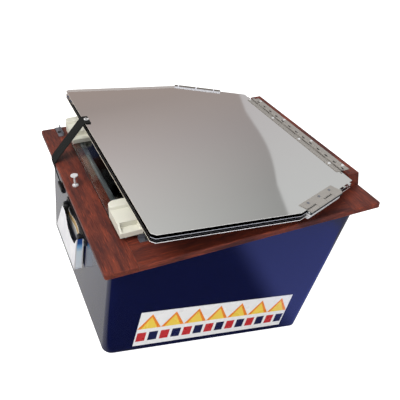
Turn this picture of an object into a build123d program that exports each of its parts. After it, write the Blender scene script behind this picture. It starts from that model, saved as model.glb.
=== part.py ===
from build123d import *
from math import atan, atan2, cos, degrees, hypot, radians, sin, tan
import os

# Box solar cooker, folded for carrying. Millimetres, +Z up, -X is the low side with the
# latches, +X the high side with the reflector hinge, origin at the middle of the base.

# ---- driving dimensions: case, its foot a margin inside the square deck ----
deck_side = 482.6
base_end_margin = 44.2
base_side_margin = 40.4
low_wall_lean = 6.2
high_wall_lean = 1.5
side_wall_lean = 4.7
case_corner_radius = 16.5
case_wall = 3.0
case_floor = 4.0
base_edge_radius = 4.0

# ---- driving dimensions: wooden deck ----
deck_tilt = 12.9
deck_height = 256.3
deck_shift = -2.0
deck_thickness = 9.5
deck_edge_radius = 2.4
deck_corner_radius = 5.0
low_joint_margin = 16.0
high_joint_margin = 10.0
board_gap = 0.3

# ---- driving dimensions: oven chamber ----
window_end_margin = 67.3
window_side_margin = 81.3
chamber_sheet = 1.0
chamber_floor_height = 38.0
chamber_end_slope = 24.0
chamber_corner_radius = 18.0
chamber_floor_radius = 9.0
chamber_rim = 8.5
chamber_gap = 0.5
insulation_gap = 0.4
insulation_thickness = 25.0

# ---- driving dimensions: glass door ----
glass_low_lap = 25.0
glass_high_lap = 12.0
glass_side_lap = 16.0
glass_thickness = 4.0
glass_corner_radius = 4.0
gasket_width = 8.0
gasket_height = 3.0
soft_gap = 0.3
door_axis_gap = 8.0
door_axis_rise = 0.8
door_barrel_radius = 2.8
door_pin_radius = 1.2
door_hinge_length = 44.0
door_hinge_spacing = 220.0
door_leaf = 1.2
door_leaf_width = 12.0
door_clip_reach = 14.0
door_clip_wrap = 1.6

# ---- driving dimensions: latches ----
latch_length = 70.0
latch_width = 36.0
latch_edge = 9.0
latch_lip_height = 8.0
latch_lip_depth = 14.5
latch_shelf_height = 18.0
latch_shelf_length = 36.0
latch_height = 24.0
latch_cheek = 3.5
latch_corner_radius = 11.0
latch_pivot_inset = 1.5
front_latch_overhang = 4.0
back_latch_inset = 3.0
back_latch_lap = 34.0
latch_screw_radius = 2.0
latch_screw_reach = 5.0
latch_head_radius = 3.2
latch_head_height = 1.5
stop_length = 42.0
stop_height = 7.5
stop_sheet = 1.2
stop_foot = 9.0
stop_setback = 4.0
front_stop_start = 27.0
front_stop_screw = 0.3
back_stop_margin = 1.3
back_stop_screw = 0.55
stop_screw_radius = 3.4
stop_screw_height = 2.4

# ---- driving dimensions: thumb screw ----
thumb_screw_inset = 16.7
thumb_screw_y = 5.0
thumb_shank_radius = 2.0
thumb_shank_height = 15.0
thumb_head_radius = 6.5
thumb_head_height = 5.0
thumb_flange_radius = 4.8
thumb_flange_height = 1.6
insert_radius = 5.5
insert_sleeve_radius = 3.4

# ---- driving dimensions: reflector hinge ----
hinge_inset = 30.3
block_inner_gap = 2.5
block_top_width = 22.5
block_foot_width = 27.0
block_end = 8.0
block_height = 26.6
hinge_length = 342.0
hinge_pitch = 25.4
barrel_radius = 2.6
hinge_pin_radius = 1.25
leaf_sheet = 1.1
fixed_leaf_width = 14.5
fixed_leaf_screw = 0.75
panel_leaf_width = 13.0
running_gap = 0.05
hinge_screw_pitch = 100.0
panel_rivet_shift = 14.0
rivet_radius = 3.0
rivet_height = 1.1

# ---- driving dimensions: folding reflectors ----
stack_tilt = 6.3
panel_sheet = 1.0
leaf_drops = [0.0, 6.4, 9.9, 13.4]
panel_base_edge = 3.4
panel_base_end = 26.5
panel_slant_run = 147.0
panel_slant_rise = 68.2
panel_reach = 179.5
panel_far_chamfer = 6.5
fold_hinge_length = 98.0
fold_hinge_start = 50.0
fold_leaf_width = 15.0
fold_leaf_sheet = 1.0
fold_pin_radius = 1.5
fold_edge_gap = 0.3

# ---- driving dimensions: strap ----
strap_y = 110.0
strap_width = 27.0
strap_thickness = 1.6
strap_anchor_height = 150.0
strap_overlap = 10.0
strap_stand_off = 4.5
eyelet_radius = 4.6
eyelet_bore = 2.4
eyelet_height = 1.0

# ---- driving dimensions: handle and card sleeve ----
handle_y = 0.0
handle_length = 100.0
handle_pivot_height = 138.0
handle_drop = 39.0
handle_rod_radius = 4.0
handle_grip_radius = 5.0
handle_stand_off = 7.0
handle_bearing_gap = 0.06
handle_pin_radius = 2.2
handle_ear_gap = 0.5
handle_ear = 5.0
handle_plate_length = 146.0
handle_plate_height = 18.0
handle_plate_sheet = 2.0
sleeve_front_y = -55.5
sleeve_back_top_y = 57.0
sleeve_back_bottom_y = 90.0
sleeve_top_height = 126.0
sleeve_height = 54.0
sleeve_inner_gap = 1.0
sleeve_top_depth = 14.5
sleeve_bottom_depth = 16.5
sleeve_card = 0.8
sleeve_scoop = 30.0

# ---- driving dimensions: levelling tray and thermometer ----
tray_end_gap = 35.0
tray_side_gap = 15.0
tray_sheet = 1.5
tray_rim = 9.0
tray_floor_height = 86.0
tray_pivot_height = 172.0
tray_arm_width = 16.0
tray_pin_radius = 3.0
tray_pin_gap = 0.06
tray_boss_radius = 9.0
thermometer_radius = 26.0
thermometer_depth = 12.0
thermometer_height = 150.0

# ---- driving dimensions: rear leg ----
leg_width = 32.0
leg_thickness = 4.0
leg_board_gap = 21.7
leg_floor_gap = 8.0
leg_hole_count = 5
leg_hole_radius = 3.0
leg_clearance = 0.25
guide_sheet = 2.0
guide_bottom = 118.0
guide_height = 66.0
guide_flange = 12.0
knob_radius = 11.0
knob_height = 12.0
knob_stud_radius = 3.0
foot_length = 26.0

# ---- plan sizes that follow from the deck's side ----
base_length = deck_side - 2 * base_end_margin
base_width = deck_side - 2 * base_side_margin
window_length = deck_side - 2 * window_end_margin
window_width = deck_side - 2 * window_side_margin
chamber_floor_length = window_length - 2 * chamber_end_slope
low_board_joint = window_length / 2 + low_joint_margin
high_board_joint = window_length / 2 + high_joint_margin
glass_low_edge = window_length / 2 + glass_low_lap
glass_high_edge = window_length / 2 + glass_high_lap
glass_width = window_width + 2 * glass_side_lap
door_axis_x = glass_high_edge + door_axis_gap
thumb_screw_x = thumb_screw_inset - deck_side / 2
tray_length = chamber_floor_length - 2 * tray_end_gap
tray_width = window_width - 2 * tray_side_gap

# ---- reflector sizes that follow from the hinge ----
hinge_x = deck_side / 2 - hinge_inset
block_inner_x = hinge_x + block_inner_gap
block_length = hinge_length + 2 * block_end
panel_base_length = hinge_length + 2 * panel_base_end
panel_width = panel_base_length + 2 * panel_slant_rise
panel_length = hinge_x + panel_reach

# ---- the leg ends under the high board ----
board_over_leg = deck_height + (base_length / 2 - deck_shift) * tan(radians(deck_tilt))
leg_top = board_over_leg - deck_thickness / cos(radians(deck_tilt)) - leg_board_gap
leg_length = leg_top - leg_floor_gap

# ---- frames: each piece is drawn in the frame of what carries it ----
deck_frame = Location((deck_shift, 0, deck_height), (0, -deck_tilt, 0))
barrel_centre_height = block_height + barrel_radius
stack_frame = deck_frame * Location((hinge_x, 0, barrel_centre_height), (0, stack_tilt, 0))
low_wall_frame = Location((-base_length / 2, 0, 0), (0, -low_wall_lean, 0))
high_wall_frame = Location((base_length / 2, 0, 0), (0, high_wall_lean, 0))

parts = {}


def box_between(x0, x1, y0, y1, z0, z1):
    """A block from its two opposite corners."""
    block = Box(x1 - x0, y1 - y0, z1 - z0)
    return Pos((x0 + x1) / 2, (y0 + y1) / 2, (z0 + z1) / 2) * block


def cylinder_along_y(radius, y0, y1):
    """A round bar on the Y axis."""
    bar = Cylinder(radius, y1 - y0, align=(Align.CENTER, Align.CENTER, Align.MIN))
    return Pos(0, y0, 0) * Rot(-90, 0, 0) * bar


def prism_along_y(points, width):
    """An XZ outline carried along Y, centred on the XZ plane."""
    face = make_face(Plane.XZ * Polyline(*points, close=True))
    return extrude(face, amount=width / 2, both=True)


def prism_up(points, height):
    """An XY outline carried up Z."""
    return extrude(make_face(Polyline(*points, close=True)), amount=height)


def fastener(radius, height, rounding):
    """A low head with an eased rim, standing on z = 0."""
    head = Cylinder(radius, height, align=(Align.CENTER, Align.CENTER, Align.MIN))
    return chamfer(head.edges().group_by(Axis.Z)[-1], rounding)


def one_solid(shape):
    """The single solid of a result."""
    return shape.solids()[0]


def keep_node(name, frame, *solids):
    """Files the solids of a node, placed in the frame of what carries them."""
    placed = []
    for shape in solids:
        placed.extend((frame * shape).solids())
    parts[name] = placed


def tapered_block(side_outline, end_outline):
    """The block whose side view (XZ) and end view (YZ) are the two outlines, its walls all flat."""
    reach = 2 * deck_side
    end_face = make_face(Plane.YZ * Polyline(*end_outline, close=True))
    return prism_along_y(side_outline, reach) & extrude(end_face, amount=reach, both=True)


# ---- case ----
case_top_level = deck_height + deck_side / 2 * sin(radians(deck_tilt)) + 30.0


def case_plan(inset, level):
    """Where the case's low, high and side walls stand at a level."""
    low_x = -base_length / 2 - level * tan(radians(low_wall_lean)) + inset
    high_x = base_length / 2 + level * tan(radians(high_wall_lean)) - inset
    half_width = base_width / 2 + level * tan(radians(side_wall_lean)) - inset
    return low_x, high_x, half_width


def case_block(inset, bottom, top):
    """The tapering body of the case with rounded corners, drawn inset from its outer walls."""
    low_foot, high_foot, half_foot = case_plan(inset, bottom)
    low_top, high_top, half_top = case_plan(inset, top)
    side_outline = [(low_foot, bottom), (high_foot, bottom), (high_top, top), (low_top, top)]
    end_outline = [(-half_foot, bottom), (half_foot, bottom), (half_top, top), (-half_top, top)]
    block = tapered_block(side_outline, end_outline)
    upright = [e for e in block.edges() if abs(e.tangent_at(0.5).Z) > 0.7]
    return fillet(upright, case_corner_radius - inset)


def below_plane(level):
    """A large block that lies under the deck, level being its top above the deck's top face."""
    block = Box(900, 900, 700, align=(Align.CENTER, Align.CENTER, Align.MAX))
    return deck_frame * (Pos(0, 0, level) * block)


def make_case():
    outer = case_block(0, 0, case_top_level)
    bottom_edges = outer.edges().group_by(Axis.Z)[0]
    outer = fillet(bottom_edges, base_edge_radius)
    inner = case_block(case_wall, case_floor, case_top_level + 1)
    shell = (outer - inner) & below_plane(-deck_thickness)
    return one_solid(shell)


# ---- oven chamber ----
def chamber_profile(grow):
    """The chamber seen from the side, grown outwards by a wall."""
    half = window_length / 2 + grow
    lift = 20.0
    corners = []
    for side in (-1, 1):
        rim = deck_frame * Location((side * half, 0, 0))
        foot_x = side * (chamber_floor_length / 2 + grow)
        foot_z = chamber_floor_height - grow
        slope_x = (rim.position.X - foot_x) / (rim.position.Z - foot_z)
        top_z = rim.position.Z + lift
        corners.append(((foot_x, foot_z), (foot_x + slope_x * (top_z - foot_z), top_z)))
    (low_foot, low_top), (high_foot, high_top) = corners
    return [low_foot, low_top, high_top, high_foot]


def chamber_block(grow):
    """The chamber as a block with rounded upright corners, grown outwards by a wall."""
    block = prism_along_y(chamber_profile(grow), window_width + 2 * grow)
    upright = [e for e in block.edges() if abs(e.tangent_at(0.5).Z) > 0.7]
    return fillet(upright, chamber_corner_radius + grow)


def soft_floor(block, radius):
    """The block with its lowest edges rounded."""
    return fillet(block.faces().sort_by(Axis.Z)[0].edges(), radius)


def window_outline(grow):
    """The chamber's mouth on the deck, grown outwards."""
    length = window_length + 2 * grow
    width = window_width + 2 * grow
    return RectangleRounded(length, width, chamber_corner_radius + grow)


def make_chamber():
    outer = soft_floor(chamber_block(chamber_sheet), chamber_floor_radius + chamber_sheet)
    inner = soft_floor(chamber_block(0), chamber_floor_radius)
    rim = extrude(window_outline(chamber_rim), amount=chamber_sheet)
    tub = (outer & below_plane(chamber_sheet)) + deck_frame * rim
    return one_solid(tub - inner)


def make_insulation():
    inner_grow = chamber_sheet + insulation_gap
    jacket = chamber_block(inner_grow + insulation_thickness) - chamber_block(inner_grow)
    return one_solid(jacket & below_plane(-deck_thickness - insulation_gap))


# ---- deck boards ----
def deck_board(points, outer_corners):
    """One board, its outer corners rounded and its outer top edges eased."""
    board = Pos(0, 0, -deck_thickness) * prism_up(points, deck_thickness)
    upright = [
        edge
        for edge in board.edges().filter_by(Axis.Z)
        if (round(edge.center().X, 3), round(edge.center().Y, 3)) in outer_corners
    ]
    if upright:
        board = fillet(upright, deck_corner_radius)
    half = deck_side / 2 - deck_corner_radius * 0.9
    outer_top = [
        edge
        for edge in board.edges()
        if abs(edge.center().Z) < 0.01
        and max(abs(edge.center().X), abs(edge.center().Y)) > half
    ]
    return fillet(outer_top, deck_edge_radius)


def make_boards():
    half = deck_side / 2
    mouth_x = window_length / 2 + chamber_sheet + chamber_gap
    mouth_y = window_width / 2 + chamber_sheet + chamber_gap
    step_y = mouth_y + board_gap

    def end_board(side, joint):
        """A full-depth board, stepped where the side boards butt against it."""
        points = [
            (side * half, -half),
            (side * half, half),
            (side * joint, half),
            (side * joint, step_y),
            (side * mouth_x, step_y),
            (side * mouth_x, -step_y),
            (side * joint, -step_y),
            (side * joint, -half),
        ]
        rounded = [(round(side * half, 3), round(s * half, 3)) for s in (-1, 1)]
        return deck_board(points, rounded)

    def side_board(side):
        """A board between the two end boards."""
        low_x = -low_board_joint + board_gap
        high_x = high_board_joint - board_gap
        inner = side * (mouth_y + board_gap + board_gap)
        points = [(low_x, side * half), (high_x, side * half), (high_x, inner), (low_x, inner)]
        return deck_board(points, [])

    mouth = chamber_block(chamber_sheet + chamber_gap)
    screw_hole = Pos(thumb_screw_x, thumb_screw_y, 0) * Cylinder(insert_sleeve_radius + 0.05, 60)
    low_board = end_board(-1, low_board_joint) - screw_hole
    keep_node("low_board", Location(), deck_frame * low_board - mouth)
    keep_node("high_board", Location(), deck_frame * end_board(1, high_board_joint) - mouth)
    keep_node("front_board", deck_frame, side_board(-1))
    keep_node("back_board", deck_frame, side_board(1))


# ---- glass door ----
gasket_bottom = chamber_sheet
glass_bottom = gasket_bottom + gasket_height + soft_gap
glass_top = glass_bottom + glass_thickness
door_axis_z = glass_top + door_axis_rise


def make_gasket():
    outer = extrude(window_outline(gasket_width), amount=gasket_height)
    inner = extrude(window_outline(0), amount=gasket_height)
    ring = outer - inner
    top_edges = ring.edges().group_by(Axis.Z)[-1]
    ring = chamfer(top_edges, gasket_width * 0.2)
    return Pos(0, 0, gasket_bottom) * ring


def make_glass():
    length = glass_low_edge + glass_high_edge
    pane = extrude(RectangleRounded(length, glass_width, glass_corner_radius), amount=glass_thickness)
    flat_edges = pane.edges().group_by(Axis.Z)[0] + pane.edges().group_by(Axis.Z)[-1]
    pane = chamfer(flat_edges, 0.8)
    pane = Pos((glass_high_edge - glass_low_edge) / 2, 0, glass_bottom) * pane
    for x, y in latch_places:
        pane -= Pos(x, y, 0) * Cylinder(latch_screw_radius + 0.02, 60)
    return pane


def knuckle_spans(length, pitch, first):
    """The stretches of a hinge that belong to one leaf, as (start, end) along Y."""
    count = int(length / pitch)
    start = -count * pitch / 2
    spans = []
    for index in range(first, count, 2):
        y0 = start + index * pitch + 0.25
        spans.append((y0, y0 + pitch - 0.5))
    return spans


def hinge_leaf(length, pitch, first, width, sheet, barrel, pin, side, thick_side=-1):
    """A piano hinge leaf with its rolled knuckles, the pin on the Y axis, side +1 towards +X.

    The leaf lies tangent to the barrel, below it for thick_side -1 and above it for +1.
    """
    count = int(length / pitch)
    half = count * pitch / 2
    z0, z1 = sorted((thick_side * barrel, thick_side * (barrel - sheet)))
    notch = barrel + 0.6
    x0, x1 = sorted((side * notch, side * width))
    leaf = box_between(x0, x1, -half, half, z0, z1)
    for y0, y1 in knuckle_spans(length, pitch, first):
        root_x = sorted((0, side * (notch + 0.5)))
        leaf += box_between(root_x[0], root_x[1], y0, y1, z0, z1)
        leaf += cylinder_along_y(barrel, y0, y1)
    return leaf - cylinder_along_y(pin + running_gap, -half - 1, half + 1)


def make_door_hinges():
    """Two small hinges at the high edge of the glass: clips on the pane, leaves on the deck."""
    pitch = door_hinge_length / 3
    clips = []
    leaves = []
    pins = []
    for side in (-1, 1):
        place = Pos(door_axis_x, side * door_hinge_spacing / 2, door_axis_z)
        half = door_hinge_length / 2
        knuckle = cylinder_along_y(door_barrel_radius, -pitch / 2 + 0.25, pitch / 2 - 0.25)
        tongue_top = glass_top + soft_gap + door_leaf - door_axis_z
        tongue_bottom = glass_top + soft_gap - door_axis_z
        edge_x = glass_high_edge - door_axis_x
        start_x = edge_x - door_clip_reach
        end_x = edge_x + door_clip_wrap
        tongue = box_between(start_x, 0, -pitch / 2 + 0.25, pitch / 2 - 0.25, tongue_bottom, tongue_top)
        plate = box_between(start_x, end_x, -half, half, tongue_bottom, tongue_top)
        under_top = glass_bottom - soft_gap - door_axis_z
        web = box_between(edge_x + soft_gap, end_x, -half, half, under_top - door_leaf, tongue_top)
        under_x = window_length / 2 + chamber_rim + soft_gap - door_axis_x
        under = box_between(under_x, end_x, -half, half, under_top - door_leaf, under_top)
        bore = cylinder_along_y(door_pin_radius + running_gap, -half, half)
        clips.append(place * (knuckle + tongue + plate + web + under - bore))
        leaf_z = -door_axis_z
        leaf = box_between(0, door_leaf_width, -half, half, leaf_z, leaf_z + door_leaf)
        for s in (-1, 1):
            y0, y1 = sorted((s * (pitch / 2 + 0.25), s * half))
            leaf += cylinder_along_y(door_barrel_radius, y0, y1)
            leaf += box_between(0, door_barrel_radius, y0, y1, leaf_z, 0)
        leaves.append(place * (leaf - bore))
        pins.append(place * cylinder_along_y(door_pin_radius, -half, half))
    keep_node("door_hinge_clips", deck_frame, *clips)
    keep_node("door_hinge_leaves", deck_frame, *leaves)
    keep_node("door_hinge_pins", deck_frame, *pins)


# ---- latches ----
latch_left = latch_edge + latch_pivot_inset
back_latch_x = -glass_low_edge + back_latch_inset + latch_left
back_latch_y = glass_width / 2 - back_latch_lap + latch_edge
front_latch_y = -glass_width / 2 - front_latch_overhang + latch_edge
latch_places = [
    (-glass_low_edge + latch_left, front_latch_y),
    (back_latch_x, back_latch_y),
]


def make_latch():
    """A stepped latch block: finger lip, shelf and top, turning on a screw under its lip."""
    lip_y = -latch_edge
    recess_y = lip_y + latch_lip_depth
    shelf_y = recess_y + latch_shelf_length
    end_y = lip_y + latch_length
    outline = [
        (lip_y, 0),
        (lip_y, latch_lip_height),
        (recess_y, latch_shelf_height),
        (shelf_y, latch_shelf_height),
        (shelf_y + 1.5, latch_height),
        (end_y, latch_height),
        (end_y, 0),
    ]
    face = make_face(Plane.YZ * Polyline(*outline, close=True))
    block = extrude(face, amount=latch_width, dir=(1, 0, 0))
    far_corners = [e for e in block.edges().filter_by(Axis.Z) if abs(e.center().Y - end_y) < 0.1]
    block = fillet(far_corners, latch_corner_radius)
    pocket = [
        (lip_y - 1, latch_lip_height),
        (recess_y + 1.5, latch_lip_height),
        (recess_y, latch_shelf_height + 1),
        (lip_y - 1, latch_shelf_height + 1),
    ]
    pocket_face = make_face(Plane.YZ * Polyline(*pocket, close=True))
    pocket_block = extrude(pocket_face, amount=latch_width - 2 * latch_cheek, dir=(1, 0, 0))
    block -= Pos(latch_cheek, 0, 0) * pocket_block
    top_edges = [e for e in block.edges() if e.center().Z > latch_height - 0.05]
    block = chamfer(top_edges, 1.0)
    block = Pos(-latch_left, 0, 0) * block
    socket = Cylinder(latch_screw_radius + 0.08, 2 * (latch_screw_reach + 0.3))
    return one_solid(block - socket)


def make_latches():
    base_z = glass_top + soft_gap
    screws = []
    for name, (x, y) in zip(("front", "back"), latch_places):
        keep_node(f"{name}_latch", deck_frame, Pos(x, y, base_z) * make_latch())
        head_top = glass_bottom - 0.02
        head = Cylinder(latch_head_radius, latch_head_height, align=(Align.CENTER, Align.CENTER, Align.MAX))
        shank_height = base_z + latch_screw_reach - head_top
        shank = Cylinder(latch_screw_radius, shank_height, align=(Align.CENTER, Align.CENTER, Align.MIN))
        screws.append(Pos(x, y, head_top) * (head + shank))
    keep_node("latch_screws", deck_frame, *screws)


def make_glass_stops():
    """Two steel angles on the deck beside the pane, each under a black screw."""
    front_y = -glass_width / 2 - stop_setback - stop_sheet
    front = Pos(-glass_low_edge + front_stop_start, front_y, 0)
    back_x = -glass_low_edge - stop_setback - stop_sheet
    back = Pos(back_x, deck_side / 2 - back_stop_margin, 0) * Rot(0, 0, -90)
    angles = []
    screws = []
    for place, share in ((front, front_stop_screw), (back, back_stop_screw)):
        leaf = box_between(0, stop_length, 0, stop_sheet, 0, stop_height)
        foot = box_between(0, stop_length, -stop_foot, stop_sheet, 0, stop_sheet)
        seat = Pos(stop_length * share, -stop_foot * 0.5, 0)
        angles.append(place * (leaf + foot - seat * Cylinder(stop_screw_radius * 0.56, 10)))
        head = fastener(stop_screw_radius, stop_screw_height, stop_screw_height * 0.66)
        screws.append(place * seat * Pos(0, 0, stop_sheet) * head)
    keep_node("glass_stops", deck_frame, *angles)
    keep_node("stop_screws", deck_frame, *screws)


# ---- thumb screw ----
def make_thumb_screw():
    base = Pos(thumb_screw_x, thumb_screw_y, 0)
    ring = Cylinder(insert_radius, thumb_flange_height, align=(Align.CENTER, Align.CENTER, Align.MIN))
    sleeve_depth = deck_thickness
    sleeve = Cylinder(insert_sleeve_radius, sleeve_depth, align=(Align.CENTER, Align.CENTER, Align.MAX))
    insert = ring + sleeve - Cylinder(thumb_shank_radius + running_gap, 60)
    flange_top = thumb_flange_height
    radius_top = thumb_head_radius
    shoulder = flange_top + 0.1
    neck_top = shoulder + thumb_shank_height
    outline = [
        (0, -deck_thickness + 1.0),
        (thumb_shank_radius, -deck_thickness + 1.0),
        (thumb_shank_radius, shoulder),
        (thumb_flange_radius, shoulder),
        (thumb_flange_radius, shoulder + 1.2),
        (thumb_shank_radius, shoulder + 2.2),
        (thumb_shank_radius, neck_top),
        (radius_top * 0.5, neck_top + thumb_head_height * 0.45),
        (radius_top, neck_top + thumb_head_height * 0.75),
        (radius_top - 0.4, neck_top + thumb_head_height),
        (0, neck_top + thumb_head_height),
    ]
    turned = revolve(make_face(Plane.XZ * Polyline(*outline, close=True)), axis=Axis.Z)
    keep_node("thumb_screw_insert", deck_frame, base * insert)
    keep_node("thumb_screw", deck_frame, base * turned)


# ---- reflector hinge block and long hinge ----
def make_hinge_block():
    outline = [
        (block_inner_x, 0),
        (block_inner_x, block_height),
        (block_inner_x + block_top_width, block_height),
        (block_inner_x + block_foot_width, 0),
    ]
    block = prism_along_y(outline, block_length)
    eased = [e for e in block.edges() if e.center().Z > block_height - 0.1]
    block = fillet(eased, 1.5)
    keep_node("hinge_block", deck_frame, block)


def make_long_hinge():
    pin_place = Pos(hinge_x, 0, barrel_centre_height)
    fixed = hinge_leaf(
        hinge_length, hinge_pitch, 0, fixed_leaf_width, leaf_sheet, barrel_radius, hinge_pin_radius, 1
    )
    moving = hinge_leaf(
        hinge_length, hinge_pitch, 1, panel_leaf_width, leaf_sheet, barrel_radius, hinge_pin_radius, -1
    )
    knuckles = int(hinge_length / hinge_pitch)
    half = knuckles * hinge_pitch / 2
    keep_node("long_hinge_block_leaf", deck_frame * pin_place, fixed)
    keep_node("long_hinge_panel_leaf", stack_frame, moving)
    keep_node("long_hinge_pin", deck_frame * pin_place, cylinder_along_y(hinge_pin_radius, -half, half))
    leaf_top = -barrel_radius + leaf_sheet
    screws = []
    rivets = []
    for index in range(4):
        y = (index - 1.5) * hinge_screw_pitch
        screw = fastener(rivet_radius, rivet_height, 0.7)
        screws.append(Pos(fixed_leaf_width * fixed_leaf_screw, y, leaf_top) * screw)
        rivet = fastener(rivet_radius, rivet_height, 0.7)
        rivets.append(Pos(-panel_leaf_width * 0.6, y + panel_rivet_shift, leaf_top) * rivet)
    keep_node("block_screws", deck_frame * pin_place, *screws)
    keep_node("panel_rivets", stack_frame, *rivets)


# ---- folding reflectors ----
panel_top = -barrel_radius
base_half = panel_base_length / 2
slant_end_x = -panel_base_edge - panel_slant_run
panel_half = panel_width / 2
slant_length = hypot(panel_slant_run, panel_half - base_half)
slant_angle = degrees(atan2(panel_half - base_half, panel_slant_run))
reflector_names = ["back_reflector", "first_side_reflector", "front_reflector", "second_side_reflector"]


def make_panel():
    """A flat leaf: short base edge, two slanted edges, wide parallel part, clipped far corners."""
    points = [
        (-panel_base_edge, -base_half),
        (slant_end_x, -panel_half),
        (-panel_length + panel_far_chamfer, -panel_half),
        (-panel_length, -panel_half + panel_far_chamfer),
        (-panel_length, panel_half - panel_far_chamfer),
        (-panel_length + panel_far_chamfer, panel_half),
        (slant_end_x, panel_half),
        (-panel_base_edge, base_half),
    ]
    return prism_up(points, panel_sheet)


def make_reflectors():
    for name, drop in zip(reflector_names, leaf_drops):
        bottom = panel_top - panel_sheet - drop
        keep_node(name, stack_frame, Pos(0, 0, bottom) * make_panel())


def slant_frame(side, height):
    """A frame at a slanted edge: X along the panel's inside, Y along the edge, Z the stack's normal."""
    centre_run = fold_hinge_start + fold_hinge_length / 2
    x = -panel_base_edge - centre_run * cos(radians(slant_angle))
    y = side * (base_half + centre_run * sin(radians(slant_angle)))
    inward = side * (-90 - slant_angle)
    return Location((x, y, height), (0, 0, inward))


def make_fold_hinge(name, side, upper_index):
    """A closed hinge over two leaves of the stack: one leaf above, one below, the barrel outside."""
    upper_top = panel_top - leaf_drops[upper_index]
    lower_bottom = panel_top - panel_sheet - leaf_drops[upper_index + 1]
    outer_top = upper_top + fold_leaf_sheet
    outer_bottom = lower_bottom - fold_leaf_sheet
    barrel = (outer_top - outer_bottom) / 2
    middle = (outer_top + outer_bottom) / 2
    pitch = fold_hinge_length / 4
    reach = fold_leaf_width + barrel
    frame = stack_frame * slant_frame(side, middle) * Location((-barrel - fold_edge_gap, 0, 0))
    for part_name, first, thick_side in (("upper_leaf", 0, 1), ("lower_leaf", 1, -1)):
        leaf = hinge_leaf(
            fold_hinge_length, pitch, first, reach, fold_leaf_sheet, barrel, fold_pin_radius, 1, thick_side
        )
        keep_node(f"{name}_{part_name}", frame, leaf)
    half = fold_hinge_length / 2
    keep_node(f"{name}_pin", frame, cylinder_along_y(fold_pin_radius, -half, half))
    if upper_index == 0:
        rivets = []
        for index in range(3):
            y = (index - 1) * fold_hinge_length / 3
            place = Pos(barrel + fold_leaf_width * 0.55, y, barrel)
            rivets.append(place * fastener(rivet_radius * 0.8, rivet_height, 0.6))
        keep_node(f"{name}_rivets", frame, *rivets)


# ---- strap ----
def band(points, thickness, width):
    """A flat band that follows an XZ path, its thickness centred on the path."""
    left = []
    right = []
    last = len(points) - 1
    for index, (x, z) in enumerate(points):
        before = points[max(index - 1, 0)]
        after = points[min(index + 1, last)]
        run = hypot(after[0] - before[0], after[1] - before[1])
        nx = -(after[1] - before[1]) / run * thickness / 2
        nz = (after[0] - before[0]) / run * thickness / 2
        left.append((x + nx, z + nz))
        right.append((x - nx, z - nz))
    return prism_along_y(left + right[::-1], width)


def make_strap():
    """Webbing from the low wall, round the deck's edge and over the edge of the folded stack."""
    lift = strap_thickness / 2 + soft_gap
    place = Pos(0, strap_y, 0)
    anchor = low_wall_frame * Location((-strap_stand_off, 0, strap_anchor_height))
    rim_x = -deck_side / 2 - lift
    rim_low = deck_frame * Location((rim_x, 0, -deck_thickness))
    rim_high = deck_frame * Location((rim_x, 0, -deck_edge_radius * 0.3))
    stack_edge = stack_frame * Location((-panel_length - lift - 2.5, 0, panel_top - 2.0))
    stack_turn = stack_frame * Location((-panel_length - lift, 0, panel_top + lift))
    stack_end = stack_frame * Location((-panel_length + strap_overlap, 0, panel_top + lift))
    tail = [(p.position.X, p.position.Z) for p in (anchor, rim_low, rim_high)]
    run = [(p.position.X, p.position.Z) for p in (rim_high, stack_edge, stack_turn, stack_end)]
    keep_node("strap_tail", place, band(tail, strap_thickness, strap_width))
    gap = strap_thickness / 2
    dx = run[1][0] - run[0][0]
    dz = run[1][1] - run[0][1]
    length = hypot(dx, dz)
    run[0] = (run[0][0] + dx / length * gap, run[0][1] + dz / length * gap)
    keep_node("strap_webbing", place, band(run, strap_thickness, strap_width))
    ring = Cylinder(eyelet_radius, eyelet_height, align=(Align.CENTER, Align.CENTER, Align.MIN))
    eyelet = ring - Cylinder(eyelet_bore, 4)
    eyelet_x = -panel_length + eyelet_radius
    eyelet_z = panel_top + soft_gap + strap_thickness + 0.2
    keep_node("strap_eyelet", stack_frame, Pos(eyelet_x, strap_y, eyelet_z) * eyelet)
    outer = -strap_stand_off
    slot_half = strap_width / 2 + 0.5
    plate = box_between(outer + 1.4, 0, -6, 6, -19, 3)
    plate = fillet(plate.edges().filter_by(Axis.X), 4)
    loop = box_between(outer - 3.4, -1.0, -slot_half - 2.3, slot_half + 2.3, -8, -1.2)
    loop = fillet(loop.edges().filter_by(Axis.Y), 1.6)
    slot = box_between(outer - 1.4, 5, -slot_half, slot_half, -20, -5.5)
    anchor_place = low_wall_frame * Location((0, strap_y, strap_anchor_height))
    keep_node("strap_anchor", anchor_place, plate + (loop - slot))


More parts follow.
